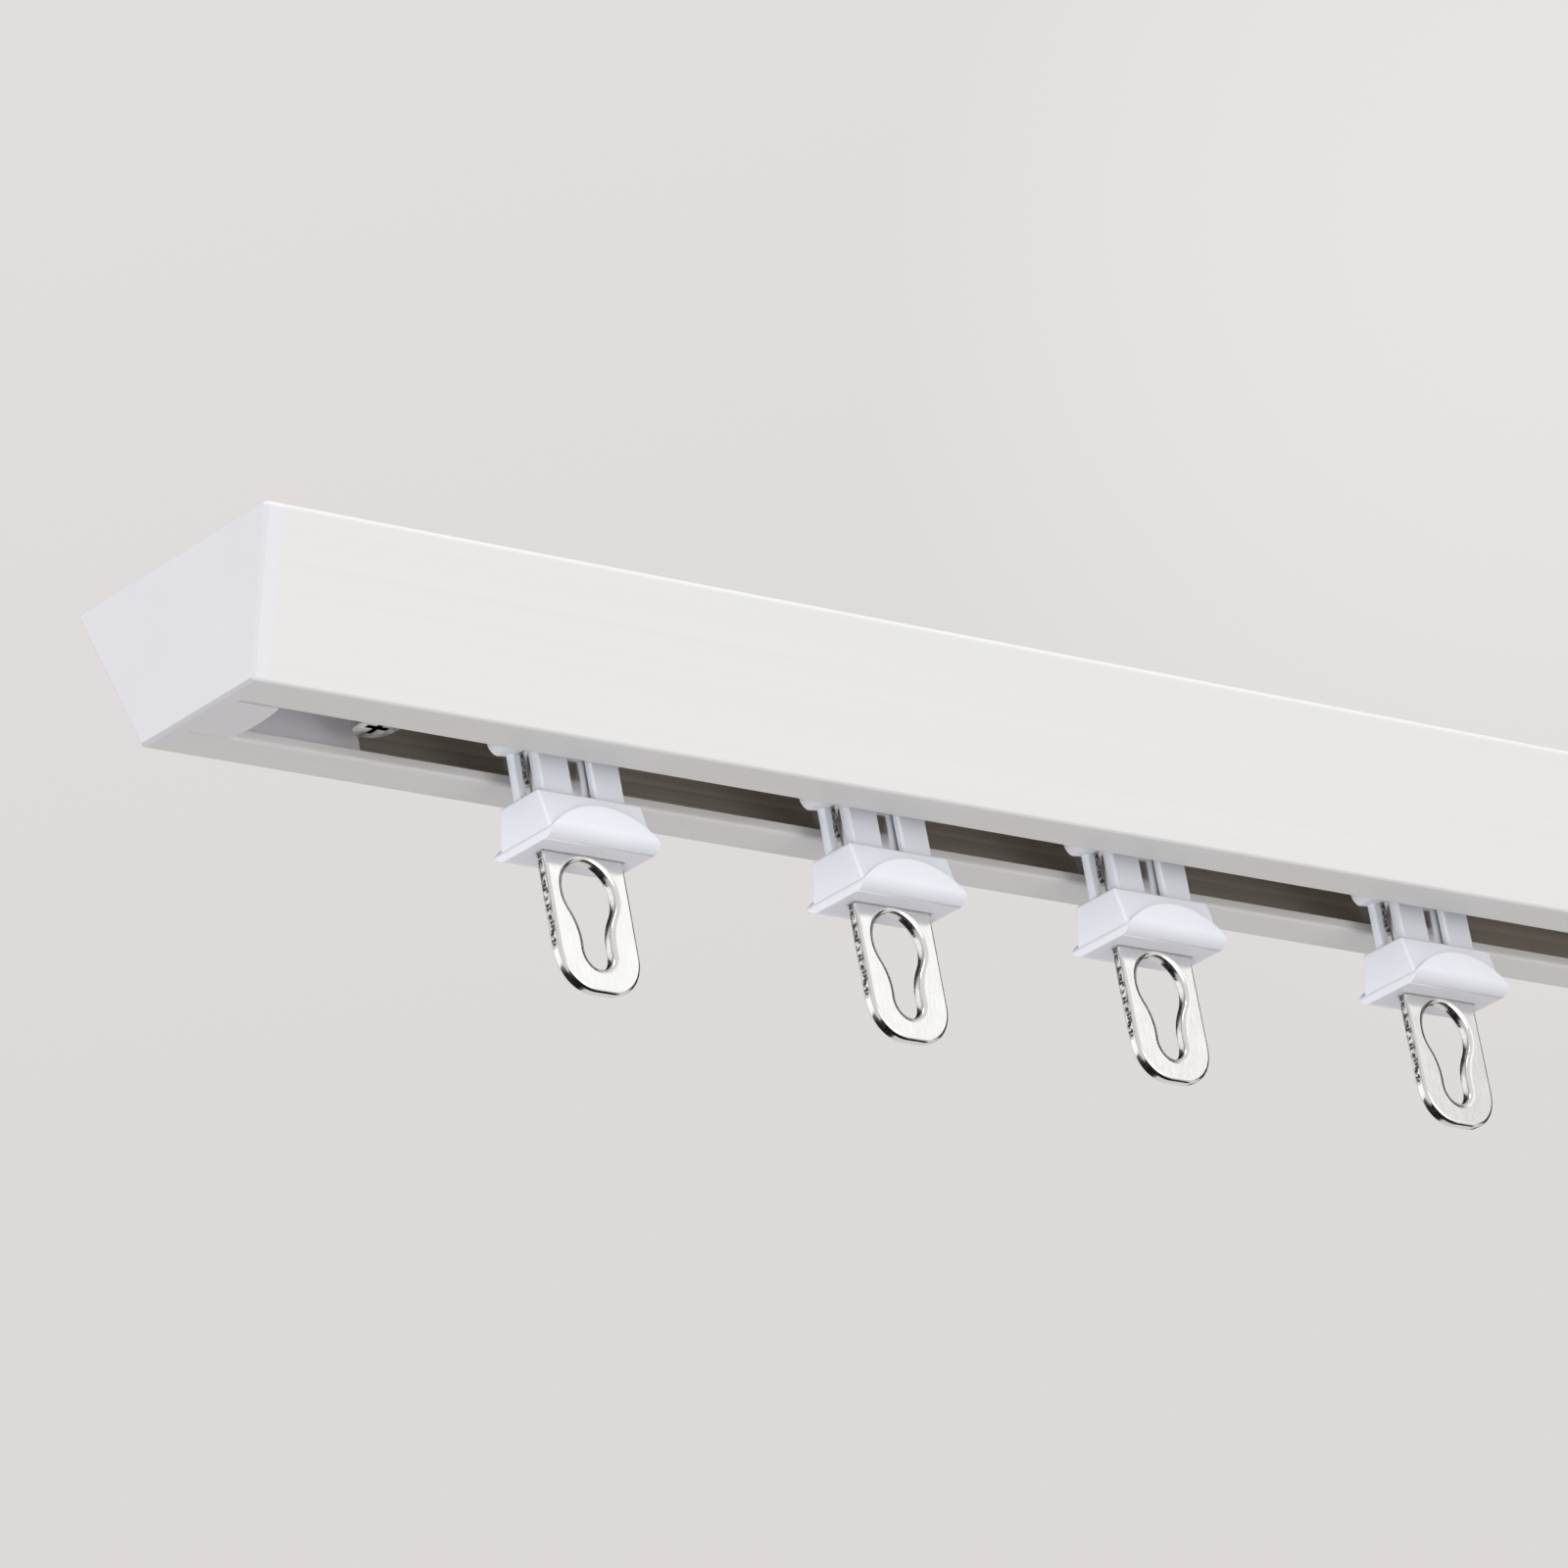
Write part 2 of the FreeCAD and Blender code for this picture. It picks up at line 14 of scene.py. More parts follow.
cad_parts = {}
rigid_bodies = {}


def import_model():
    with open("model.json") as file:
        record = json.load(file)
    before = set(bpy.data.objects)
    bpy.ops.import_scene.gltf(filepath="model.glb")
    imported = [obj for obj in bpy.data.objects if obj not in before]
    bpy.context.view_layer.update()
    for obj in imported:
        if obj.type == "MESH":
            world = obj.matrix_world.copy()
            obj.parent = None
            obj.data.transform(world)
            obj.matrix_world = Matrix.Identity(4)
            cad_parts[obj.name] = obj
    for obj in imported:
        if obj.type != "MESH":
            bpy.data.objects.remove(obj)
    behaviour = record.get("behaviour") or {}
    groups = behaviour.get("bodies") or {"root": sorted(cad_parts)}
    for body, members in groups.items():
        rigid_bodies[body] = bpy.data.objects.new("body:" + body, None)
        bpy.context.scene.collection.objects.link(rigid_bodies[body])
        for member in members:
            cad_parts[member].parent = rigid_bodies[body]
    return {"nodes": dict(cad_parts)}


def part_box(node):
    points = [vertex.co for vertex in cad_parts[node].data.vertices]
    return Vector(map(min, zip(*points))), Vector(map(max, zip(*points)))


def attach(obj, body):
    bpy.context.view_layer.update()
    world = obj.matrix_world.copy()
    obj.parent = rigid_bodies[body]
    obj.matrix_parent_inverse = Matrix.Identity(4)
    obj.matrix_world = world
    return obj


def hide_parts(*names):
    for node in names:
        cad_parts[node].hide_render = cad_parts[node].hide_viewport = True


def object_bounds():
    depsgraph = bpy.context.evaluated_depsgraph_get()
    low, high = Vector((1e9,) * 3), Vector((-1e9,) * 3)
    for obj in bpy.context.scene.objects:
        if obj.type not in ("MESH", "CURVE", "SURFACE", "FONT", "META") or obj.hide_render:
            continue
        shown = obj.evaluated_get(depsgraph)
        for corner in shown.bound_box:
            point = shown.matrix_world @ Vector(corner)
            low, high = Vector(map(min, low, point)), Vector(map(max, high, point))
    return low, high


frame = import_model()
solid_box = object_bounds()
scene = bpy.context.scene
scene.view_settings.view_transform = "Standard"
MM = 0.001
GLIDERS = [name.removesuffix("_carrier") for name in sorted(frame["nodes"]) if name.endswith("_carrier")]


def sides_in_mm(box):
    low, high = box
    return [round(side / MM, 1) for side in high - low]


print("solids:", len(frame["nodes"]), "box in mm:", sides_in_mm(solid_box))

# %% [markdown]
# The camera stands low, to the left and in front, and looks up along the track.
# A long lens keeps the rail's edges nearly parallel. The place, the turn and the lens were found by
# matching the rail's and the gliders' corners, and the lens's middle is the middle of the picture.

# %% Camera
CAMERA_FROM_LEFT_END = Vector((-0.73259, -0.79335, -0.45338))
CAMERA_TURN = (111.2203, 9.7410, -42.4460)
CAMERA_LENS = 229.69
CAMERA_SENSOR = 36.0
CAMERA_NEAREST = 0.01
LEVEL_TURN = 90.0

lens = bpy.data.cameras.new("camera")
lens.lens = CAMERA_LENS
lens.sensor_width = CAMERA_SENSOR
lens.clip_start = CAMERA_NEAREST
camera = bpy.data.objects.new("camera", lens)
camera.location = CAMERA_FROM_LEFT_END + Vector((solid_box[0].x, 0, 0))
camera.rotation_euler = [math.radians(angle) for angle in CAMERA_TURN]
scene.collection.objects.link(camera)
scene.camera = camera
looks_up = round(CAMERA_TURN[0] - LEVEL_TURN, 1)
print("camera looks up by", looks_up, "degrees with a lens of", CAMERA_LENS, "mm")

# %% [markdown]
# Every finish is a node material. The nodes could be placed by hand in the shader editor, but a script is
# easier to read and to change. Four small helpers keep its cells short: one starts a material, one adds a
# node with its settings and inputs, one does a sum, and one mixes two colours.


# %% Node helpers
def start_finish(name):
    material = bpy.data.materials.new(name)
    material.use_nodes = True
    return material, material.node_tree, material.node_tree.nodes["Principled BSDF"]


def add_node(tree, kind, settings=None, **inputs):
    node = tree.nodes.new("ShaderNode" + kind)
    for name, value in (settings or {}).items():
        setattr(node, name, value)
    for name, value in inputs.items():
        node.inputs[name.replace("_", " ")].default_value = value
    return node


def math_node(tree, operation, first, second=None, third=None):
    """A Math node. Each input is a number or an output to join. Returns its result."""
    node = add_node(tree, "Math", {"operation": operation})
    for socket, value in zip(node.inputs, (first, second, third)):
        if isinstance(value, bpy.types.NodeSocket):
            tree.links.new(value, socket)
        elif value is not None:
            socket.default_value = value
    return node.outputs[0]


def blend_colours(tree, factor, first, second):
    """A mix of two colours, each a triple or an output."""
    node = add_node(tree, "Mix", {"data_type": "RGBA"})
    tree.links.new(factor, node.inputs[0])
    for socket, value in ((node.inputs[6], first), (node.inputs[7], second)):
        if isinstance(value, bpy.types.NodeSocket):
            tree.links.new(value, socket)
        else:
            socket.default_value = (*value, 1.0)
    return node.outputs[2]


node_helpers = (start_finish, add_node, math_node, blend_colours)
print("node helpers:", [helper.__name__ for helper in node_helpers])

# %% [markdown]
# The textures are noise in three dimensions, so no mesh has to be unwrapped. They use object coordinates in
# metres: a noise scale of 1000 gives marks about a millimetre wide. A stretched noise runs in streaks, a
# ramp turns a noise into the numbers that a finish needs, and a bump makes it rough to the light.


# %% Texture helpers
def object_vector(tree):
    return add_node(tree, "TexCoord").outputs["Object"]


def split_axes(tree, vector):
    node = add_node(tree, "SeparateXYZ")
    tree.links.new(vector, node.inputs["Vector"])
    return node.outputs


def noise(tree, vector, scale, detail=3.0, roughness=0.55):
    node = add_node(tree, "TexNoise", Scale=scale, Detail=detail, Roughness=roughness)
    tree.links.new(vector, node.inputs["Vector"])
    return node.outputs["Fac"]


def stretch(tree, vector, factors):
    """Coordinates scaled by axis, so that a noise runs in streaks."""
    node = add_node(tree, "Mapping", Scale=factors)
    tree.links.new(vector, node.inputs["Vector"])
    return node.outputs["Vector"]


def ramp(tree, factor, low, high, start=0.3, end=0.7):
    """A number that goes from low to high as a texture goes from start to end."""
    node = add_node(tree, "MapRange", From_Min=start, From_Max=end, To_Min=low, To_Max=high)
    tree.links.new(factor, node.inputs["Value"])
    return node.outputs["Result"]


def bump(tree, shader, height, strength, distance):
    node = add_node(tree, "Bump", Strength=strength, Distance=distance)
    tree.links.new(height, node.inputs["Height"])
    tree.links.new(node.outputs["Normal"], shader.inputs["Normal"])


texture_helpers = (object_vector, split_axes, noise, stretch, ramp, bump)
print("texture helpers:", [helper.__name__ for helper in texture_helpers])

# %% [markdown]
# The rail is extruded aluminium with a white powder coat. The coat shows a faint orange peel and long soft
# draw marks. The spray hardly reaches into the channel, so the walls in there are dull bare metal with
# lines along the extrusion. Their colour is also made darker and warmer as painted shade for the deep
# channel. A second material would need a cut in the mesh. A mask worked out from the place on the section
# paints both on one solid: inside the channel's outline is metal, and all the rest is coat. The mask's own
# outline runs inside the walls, where no surface is.

# %% Rail finish
COAT = (0.82, 0.82, 0.815)
COAT_SHADE = 0.975
COAT_ROUGHNESS = (0.34, 0.42)
# Bare metal, with its colour also made darker and warmer as painted shade for the deep channel.
BARE_IN_SHADE = (0.78, 0.73, 0.66)
BARE_SHADE = 0.7
BARE_EXTRA_ROUGHNESS = 0.12
BARE_METALLIC = 0.2
PEEL_SCALE = 900.0
PEEL_STRENGTH = 0.06
PEEL_DEPTH = 0.1 * MM
DRAW_MARKS = (3.0, 900.0, 900.0)
SIDE_TAPER = 0.37
MASK_HALF_AT_CEILING = 17.0 * MM
MASK_TOP = -1.45 * MM
MASK_BOTTOM = -18.6 * MM


def darker(colour, factor):
    return [tone * factor for tone in colour]


def dress(mesh, *finishes):
    mesh.materials.clear()
    for finish in finishes:
        mesh.materials.append(finish)


def channel_mask(tree, vector):
    """One inside the channel and zero on the coated outside."""
    axes = split_axes(tree, vector)
    across = math_node(tree, "ABSOLUTE", axes["Y"])
    half = math_node(tree, "MULTIPLY_ADD", axes["Z"], SIDE_TAPER, MASK_HALF_AT_CEILING)
    between_walls = math_node(tree, "LESS_THAN", across, half)
    above_lips = math_node(tree, "GREATER_THAN", axes["Z"], MASK_BOTTOM)
    below_roof = math_node(tree, "LESS_THAN", axes["Z"], MASK_TOP)
    between_lips_and_roof = math_node(tree, "MULTIPLY", above_lips, below_roof)
    return math_node(tree, "MULTIPLY", between_walls, between_lips_and_roof)


def coated_rail():
    material, tree, shader = start_finish("white_powder_coat")
    vector = object_vector(tree)
    inside = channel_mask(tree, vector)
    peel = noise(tree, vector, PEEL_SCALE, detail=2.0)
    streaks = noise(tree, stretch(tree, vector, DRAW_MARKS), 1.0, detail=4.0)
    draw_marks = ramp(tree, streaks, 0.0, 1.0)
    coat_tone = blend_colours(tree, draw_marks, COAT, darker(COAT, COAT_SHADE))
    # Inside the channel: bare metal, with painted shade in its colour.
    bare_shaded_tone = blend_colours(tree, draw_marks, BARE_IN_SHADE, darker(BARE_IN_SHADE, BARE_SHADE))
    tree.links.new(blend_colours(tree, inside, coat_tone, bare_shaded_tone), shader.inputs["Base Color"])
    coat_gloss = ramp(tree, peel, *COAT_ROUGHNESS)
    gloss = math_node(tree, "MULTIPLY_ADD", inside, BARE_EXTRA_ROUGHNESS, coat_gloss)
    tree.links.new(gloss, shader.inputs["Roughness"])
    tree.links.new(math_node(tree, "MULTIPLY", inside, BARE_METALLIC), shader.inputs["Metallic"])
    bump(tree, shader, peel, PEEL_STRENGTH, PEEL_DEPTH)
    return material


rail_finish = coated_rail()
dress(frame["nodes"]["rail"].data, rail_finish)
print("rail finish:", len(rail_finish.node_tree.nodes), "nodes")

# %% [markdown]
# The end caps are moulded in a white plastic that is a little bluer than the coat. The mould leaves a fine
# spark-eroded grain on the outside and a slow change of tone where the plastic flowed. A picture of the
# grain would have to be wrapped round each moulding, so noise at two scales gives both, one for the tone
# and one for the grain. The carriers are milky: some light goes in, spreads by a millimetre and comes out
# again. The wheels are grey.

# %% Moulded plastics
FLOW_SCALE = 120.0
GRAIN_STRENGTH = 0.08
GRAIN_ROUGHNESS = 0.1
MILKY_SHARE = 0.25
MILKY_SPREAD = 1.0 * MM


def moulded_plastic(name, colour, shade, roughness, grain, depth):
    material, tree, shader = start_finish(name)
    vector = object_vector(tree)
    flow = noise(tree, vector, FLOW_SCALE, detail=2.0)
    fine = noise(tree, vector, grain, detail=3.0)
    tone = blend_colours(tree, ramp(tree, flow, 0.0, 1.0), colour, shade)
    tree.links.new(tone, shader.inputs["Base Color"])
    tree.links.new(ramp(tree, fine, roughness, roughness + GRAIN_ROUGHNESS), shader.inputs["Roughness"])
    bump(tree, shader, fine, GRAIN_STRENGTH, depth)
    return material


def make_milky(material):
    sockets = material.node_tree.nodes["Principled BSDF"].inputs
    sockets["Subsurface Weight"].default_value = MILKY_SHARE
    sockets["Subsurface Radius"].default_value = (1.0, 1.0, 1.0)
    sockets["Subsurface Scale"].default_value = MILKY_SPREAD


cap_finish = moulded_plastic(
    "cap_white", (0.825, 0.825, 0.865), (0.81, 0.81, 0.85),
    roughness=0.38, grain=3000.0, depth=0.02 * MM)
carrier_finish = moulded_plastic(
    "milky_white", (0.81, 0.815, 0.86), (0.79, 0.795, 0.845),
    roughness=0.34, grain=2200.0, depth=0.03 * MM)
make_milky(carrier_finish)
wheel_finish = moulded_plastic(
    "wheel_grey", (0.66, 0.66, 0.65), (0.60, 0.60, 0.59),
    roughness=0.30, grain=2500.0, depth=0.02 * MM)
print("plastics:", cap_finish.name, carrier_finish.name, wheel_finish.name)

# %% [markdown]
# The eye plates are punched from steel strip and nickel plated. Their faces are bright with a satin grain,
# and the punch leaves streaks across the wall of the eye, whose tone is also darker as painted shade for the
# dark line round the eye. The screws are bright zinc with dark patches of painted reflection in their
# colour, and the axles are drawn steel with lines along them. Each could be a material of its own. They
# differ only in numbers, so one function makes all four: a grain stretched by axis sets the gloss, and a
# soft cloud shifts the tone.

# %% Plated metals
CLOUD_SCALE = 300.0
METAL_GRAIN_STRENGTH = 0.03
METAL_GRAIN_DEPTH = 0.02 * MM


def plated_metal(name, colour, shade, roughness, grain_stretch, grain_scale):
    material, tree, shader = start_finish(name)
    vector = object_vector(tree)
    grain = noise(tree, stretch(tree, vector, grain_stretch), grain_scale, detail=4.0)
    cloud = noise(tree, vector, CLOUD_SCALE, detail=2.0)
    tone = blend_colours(tree, ramp(tree, cloud, 0.0, 1.0), colour, shade)
    tree.links.new(tone, shader.inputs["Base Color"])
    tree.links.new(ramp(tree, grain, *roughness), shader.inputs["Roughness"])
    shader.inputs["Metallic"].default_value = 1.0
    bump(tree, shader, grain, METAL_GRAIN_STRENGTH, METAL_GRAIN_DEPTH)
    return material


nickel = plated_metal(
    "bright_nickel", (0.90, 0.895, 0.88), (0.86, 0.855, 0.84),
    roughness=(0.12, 0.24), grain_stretch=(1.0, 1.0, 0.15), grain_scale=3500.0)
# The screws' dark second colour paints reflections in patches.
zinc_with_painted_reflections = plated_metal(
    "bright_zinc_painted_reflections", (0.85, 0.84, 0.82), (0.10, 0.095, 0.09),
    roughness=(0.10, 0.22), grain_stretch=(1.0, 1.0, 1.0), grain_scale=4000.0)
drawn_steel = plated_metal(
    "drawn_steel", (0.56, 0.55, 0.53), (0.45, 0.44, 0.43),
    roughness=(0.28, 0.43), grain_stretch=(1.0, 0.1, 1.0), grain_scale=4000.0)
# The eye's wall: punch streaks in its gloss, and a darker tone that paints shade round the eye.
punched_wall_shaded = plated_metal(
    "punched_wall_shaded", (0.90, 0.89, 0.87), (0.66, 0.65, 0.63),
    roughness=(0.10, 0.30), grain_stretch=(1.0, 0.12, 1.0), grain_scale=3000.0)
print("plated metals:", nickel.name, zinc_with_painted_reflections.name, drawn_steel.name, punched_wall_shaded.name)

# %% [markdown]
# The plates' straight sides keep the torn, speckled band that a shear leaves half-way through the strip.
# The tears are too fine to cut into a mesh, so a mask makes them: a wandering band along the middle of the
# side, times the dark spots of a coarse noise. Just above the carrier's block the mask leaves a gap, so the
# side stays bright there: a painted highlight.

# %% Torn side of the plates
SIDE_BRIGHT = (0.82, 0.81, 0.79)
SIDE_TORN = (0.07, 0.066, 0.06)
SIDE_ROUGHNESS = (0.2, 0.55)
TEAR_STRETCH = (1.0, 0.5, 1.0)
TEAR_SCALE = 2400.0
TEAR_COARSENESS = 0.75
TEAR_DARK_BELOW = 0.46
TEAR_BRIGHT_ABOVE = 0.60
TEAR_STRENGTH = 0.35
TEAR_DEPTH = 0.1 * MM
BAND_HALF = 0.3 * MM
BAND_END = 0.5 * MM
BAND_WANDER = 0.2 * MM
WANDER_SCALE = 700.0
BLOCK_TOP = -23.9 * MM
HIGHLIGHT_HEIGHT = 1.6 * MM
HIGHLIGHT_FADE = 0.3 * MM


def torn_band(tree, vector):
    """One along the middle of a plate's side, and zero near its faces and just above the block, where a
    highlight is painted.
    """
    axes = split_axes(tree, vector)
    wander = ramp(tree, noise(tree, vector, WANDER_SCALE, detail=2.0), -BAND_WANDER, BAND_WANDER)
    off_middle = math_node(tree, "ABSOLUTE", math_node(tree, "ADD", axes["Y"], wander))
    band = ramp(tree, off_middle, 1.0, 0.0, BAND_HALF, BAND_END)
    # The gap just above the block keeps the side bright: a painted highlight.
    highlight_top = BLOCK_TOP + HIGHLIGHT_HEIGHT
    above = ramp(tree, axes["Z"], 0.0, 1.0, highlight_top, highlight_top + HIGHLIGHT_FADE)
    below = ramp(tree, axes["Z"], 1.0, 0.0, BLOCK_TOP - HIGHLIGHT_FADE, BLOCK_TOP)
    return math_node(tree, "MULTIPLY", band, math_node(tree, "MAXIMUM", above, below))


def sheared_side():
    material, tree, shader = start_finish("sheared_edge")
    vector = object_vector(tree)
    streaks = stretch(tree, vector, TEAR_STRETCH)
    tears = noise(tree, streaks, TEAR_SCALE, detail=5.0, roughness=TEAR_COARSENESS)
    spots = ramp(tree, tears, 1.0, 0.0, TEAR_DARK_BELOW, TEAR_BRIGHT_ABOVE)
    torn = math_node(tree, "MULTIPLY", torn_band(tree, vector), spots)
    tree.links.new(blend_colours(tree, torn, SIDE_BRIGHT, SIDE_TORN), shader.inputs["Base Color"])
    tree.links.new(ramp(tree, torn, *SIDE_ROUGHNESS, 0.0, 1.0), shader.inputs["Roughness"])
    shader.inputs["Metallic"].default_value = 1.0
    bump(tree, shader, tears, TEAR_STRENGTH, TEAR_DEPTH)
    return material


sheared_edge = sheared_side()
print("torn side:", len(sheared_edge.node_tree.nodes), "nodes")

# %% [markdown]
# Caps, screws, axles and wheels have their right shape already, so they keep their solids.
# They only change their material, by a word in the node's name.

# %% Dress the solids that stay
FINISH_BY_PIECE = {
    "end_cap": cap_finish,
    "clamp_screw": zinc_with_painted_reflections,
    "axle": drawn_steel,
    "wheel": wheel_finish,
}
dressed = []
for name, node in frame["nodes"].items():
    for piece, finish in FINISH_BY_PIECE.items():
        if piece in name:
            dress(node.data, finish)
            dressed.append(name)
print("dressed", len(dressed), "solids")

# %% [markdown]
# The carrier is one small moulding. A real mould has no razor edges, so the solid's long outer edges are
# rounded here by a third of a millimetre. It could be modelled anew, but a copy of the solid keeps every
# size. The copy is moved to the glider's middle, its flat facets are joined, and the edges that turn
# outwards are bevelled. Bevels that meet leave corners on top of each other, so these are merged.

# %% Carrier mesh
EDGE_ROUNDING = 0.35 * MM
EDGE_STEPS = 3
ROUND_PROFILE = 0.5
SHORTEST_ROUNDED_EDGE = 0.9 * MM
ROUNDED_FROM = math.radians(40)
SMOOTH_UP_TO = math.radians(35)
SAME_PLANE = math.radians(1)
SAME_CORNER = 0.001 * MM


def glider_middle(glider):
    low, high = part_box(f"{glider}_axle")
    return (low.x + high.x) / 2


def joined_copy(node, name):
    """A copy of a solid's mesh about the glider's middle, with its flat facets joined."""
    mesh = frame["nodes"][node].data.copy()
    mesh.name = name
    mesh.transform(Matrix.Translation((-glider_middle(GLIDERS[0]), 0, 0)))
    work = bmesh.new()
    work.from_mesh(mesh)
    bmesh.ops.remove_doubles(work, verts=work.verts, dist=SAME_CORNER)
    bmesh.ops.dissolve_limit(work, angle_limit=SAME_PLANE, verts=work.verts, edges=work.edges)
    return mesh, work


def is_outer_edge(edge):
    if len(edge.link_faces) != 2 or not edge.is_convex:
        return False
    return edge.calc_face_angle() > ROUNDED_FROM and edge.calc_length() > SHORTEST_ROUNDED_EDGE


carrier_mesh, carrier_work = joined_copy("glider_1_carrier", "carrier")
outer_edges = [edge for edge in carrier_work.edges if is_outer_edge(edge)]
bmesh.ops.bevel(
    carrier_work, geom=outer_edges, offset=EDGE_ROUNDING, segments=EDGE_STEPS, profile=ROUND_PROFILE,
    affect="EDGES", clamp_overlap=False)
bmesh.ops.remove_doubles(carrier_work, verts=carrier_work.verts, dist=SAME_CORNER)
carrier_work.to_mesh(carrier_mesh)
carrier_work.free()
dress(carrier_mesh, carrier_finish)
carrier_mesh.shade_smooth()
carrier_mesh.set_sharp_from_angle(angle=SMOOTH_UP_TO)
print("carrier:", len(outer_edges), "edges rounded,", len(carrier_mesh.polygons), "faces")

# %% [markdown]
# The eye plate is a punched outline with a pear-shaped eye. A flat curve suits it: one closed line for the
# outside, one for the eye and one for the axle's hole. The pear is two rounds joined by two hollow arcs
# that touch both, so its joints follow from three radii. The outer size and the axle's height come from
# the solids.

# %% Eye plate outlines
PLATE_CORNER = 5.2 * MM
EYE_HEIGHT = -35.35 * MM
EYE_RADIUS = 4.2 * MM
FOOT_HEIGHT = -42.8 * MM
FOOT_RADIUS = 2.3 * MM
FLANK_RADIUS = 8.0 * MM
AXLE_HOLE_RADIUS = 1.05 * MM


def to_micron(length):
    """A length of the frame, rounded to a thousandth of a millimetre."""
    return round(length / MM, 3) * MM


plate_low, plate_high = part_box("glider_1_eye_plate")
axle_low, axle_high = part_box("glider_1_axle")
PLATE_HALF_WIDTH = to_micron((plate_high.x - plate_low.x) / 2)
PLATE_THICKNESS = to_micron(plate_high.y - plate_low.y)
PLATE_TOP = to_micron(plate_high.z)
PLATE_BOTTOM = to_micron(plate_low.z)
AXLE_HEIGHT = to_micron((axle_low.z + axle_high.z) / 2)


def arc(middle, radius, start, end, steps):
    """Points on an arc, from one angle to another, in degrees."""
    across, up = middle
    angles = [math.radians(start + (end - start) * step / steps) for step in range(steps + 1)]
    return [(across + radius * math.cos(angle), up + radius * math.sin(angle)) for angle in angles]


def plate_outline():
    side = PLATE_HALF_WIDTH - PLATE_CORNER
    height = PLATE_BOTTOM + PLATE_CORNER
    right = arc((side, height), PLATE_CORNER, -90, 0, steps=24)
    left = arc((-side, height), PLATE_CORNER, 180, 270, steps=24)
    return right + [(PLATE_HALF_WIDTH, PLATE_TOP), (-PLATE_HALF_WIDTH, PLATE_TOP)] + left


def pear_outline():
    span = EYE_HEIGHT - FOOT_HEIGHT
    to_eye = EYE_RADIUS + FLANK_RADIUS
    to_foot = FOOT_RADIUS + FLANK_RADIUS
    fall = (to_eye ** 2 - to_foot ** 2 + span ** 2) / (2 * span)
    away = math.sqrt(to_eye ** 2 - fall ** 2)
    flank_height = EYE_HEIGHT - fall
    up = math.degrees(math.atan2(fall, away))
    down = math.degrees(math.atan2(span - fall, away))
    upper = arc((0, EYE_HEIGHT), EYE_RADIUS, -up, 180 + up, steps=56)
    left = arc((-away, flank_height), FLANK_RADIUS, up, -down, steps=20)
    lower = arc((0, FOOT_HEIGHT), FOOT_RADIUS, 180 - down, 360 + down, steps=36)
    right = arc((away, flank_height), FLANK_RADIUS, 180 + down, 180 - up, steps=20)
    return upper + left[1:] + lower[1:] + right[1:-1]


pear = pear_outline()
axle_hole = arc((0, AXLE_HEIGHT), AXLE_HOLE_RADIUS, 0, 350, steps=35)
print("outlines: the eye has", len(pear), "points and the axle's hole", len(axle_hole))

# %% [markdown]
# The curve is filled and thickened, with a small round on both faces where the punch pulls the metal over.
# It then becomes a mesh, turned upright. The punch goes in from the front and pulls the eye's edge over
# further there. A curve has the same round everywhere, so the mesh's front corners round the eye are moved
# out, and the flat front face is filled anew.

# %% Eye plate mesh
PUNCH_ROUND = 0.45 * MM
PUNCH_STEPS = 5
EYE_ROLL = 1.7
NEAR_EYE = PUNCH_ROUND * 1.05
SAME_CURVE_POINT = 1e-4 * MM
FLAT_NORMAL = 0.999


def thick_plate(outlines):
    """A mesh of the filled outlines, as thick as the plate, upright along the track."""
    curve = bpy.data.curves.new("eye_plate_outline", "CURVE")
    curve.dimensions = "2D"
    curve.fill_mode = "BOTH"
    curve.extrude = PLATE_THICKNESS / 2 - PUNCH_ROUND
    curve.bevel_depth = PUNCH_ROUND
    curve.bevel_resolution = PUNCH_STEPS
    curve.offset = -PUNCH_ROUND
    for points in outlines:
        spline = curve.splines.new("POLY")
        spline.points.add(len(points) - 1)
        for point, (across, up) in zip(spline.points, points):
            point.co = (across, up, 0, 1)
        spline.use_cyclic_u = True
    drawing = bpy.data.objects.new("eye_plate_outline", curve)
    scene.collection.objects.link(drawing)
    bpy.context.view_layer.update()
    drawn = drawing.evaluated_get(bpy.context.evaluated_depsgraph_get())
    mesh = bpy.data.meshes.new_from_object(drawn)
    mesh.name = "eye_plate"
    bpy.data.objects.remove(drawing)
    mesh.transform(Matrix.Rotation(math.radians(90), 4, "X"))
    return mesh


def roll_eye_edge(work):
    """Moves the front corners round the eye outwards. Returns how far the edge then reaches."""
    flat_front = [face for face in work.faces if face.normal.y < -FLAT_NORMAL]
    bmesh.ops.delete(work, geom=flat_front, context="FACES")
    wall_end = PUNCH_ROUND - PLATE_THICKNESS / 2
    eye_points = [Vector(point) for point in pear]
    reach = 0.0
    for corner in work.verts:
        place = Vector((corner.co.x, corner.co.z))
        nearest = min(eye_points, key=lambda point: (point - place).length)
        from_eye = place - nearest
        if corner.co.y < wall_end and from_eye.length < NEAR_EYE:
            corner.co.x, corner.co.z = nearest + from_eye * EYE_ROLL
            reach = max(reach, from_eye.length * EYE_ROLL)
    open_edges = [edge for edge in work.edges if edge.is_boundary]
    bmesh.ops.triangle_fill(work, use_beauty=True, edges=open_edges)
    bmesh.ops.recalc_face_normals(work, faces=work.faces)
    return reach


plate_mesh = thick_plate((plate_outline(), pear, axle_hole))
plate_work = bmesh.new()
plate_work.from_mesh(plate_mesh)
bmesh.ops.remove_doubles(plate_work, verts=plate_work.verts, dist=SAME_CURVE_POINT)
bmesh.ops.recalc_face_normals(plate_work, faces=plate_work.faces)
rolled_mm = round(roll_eye_edge(plate_work) / MM, 2)
print("eye plate:", len(plate_work.faces), "faces, the eye's edge rolled over by", rolled_mm, "mm")

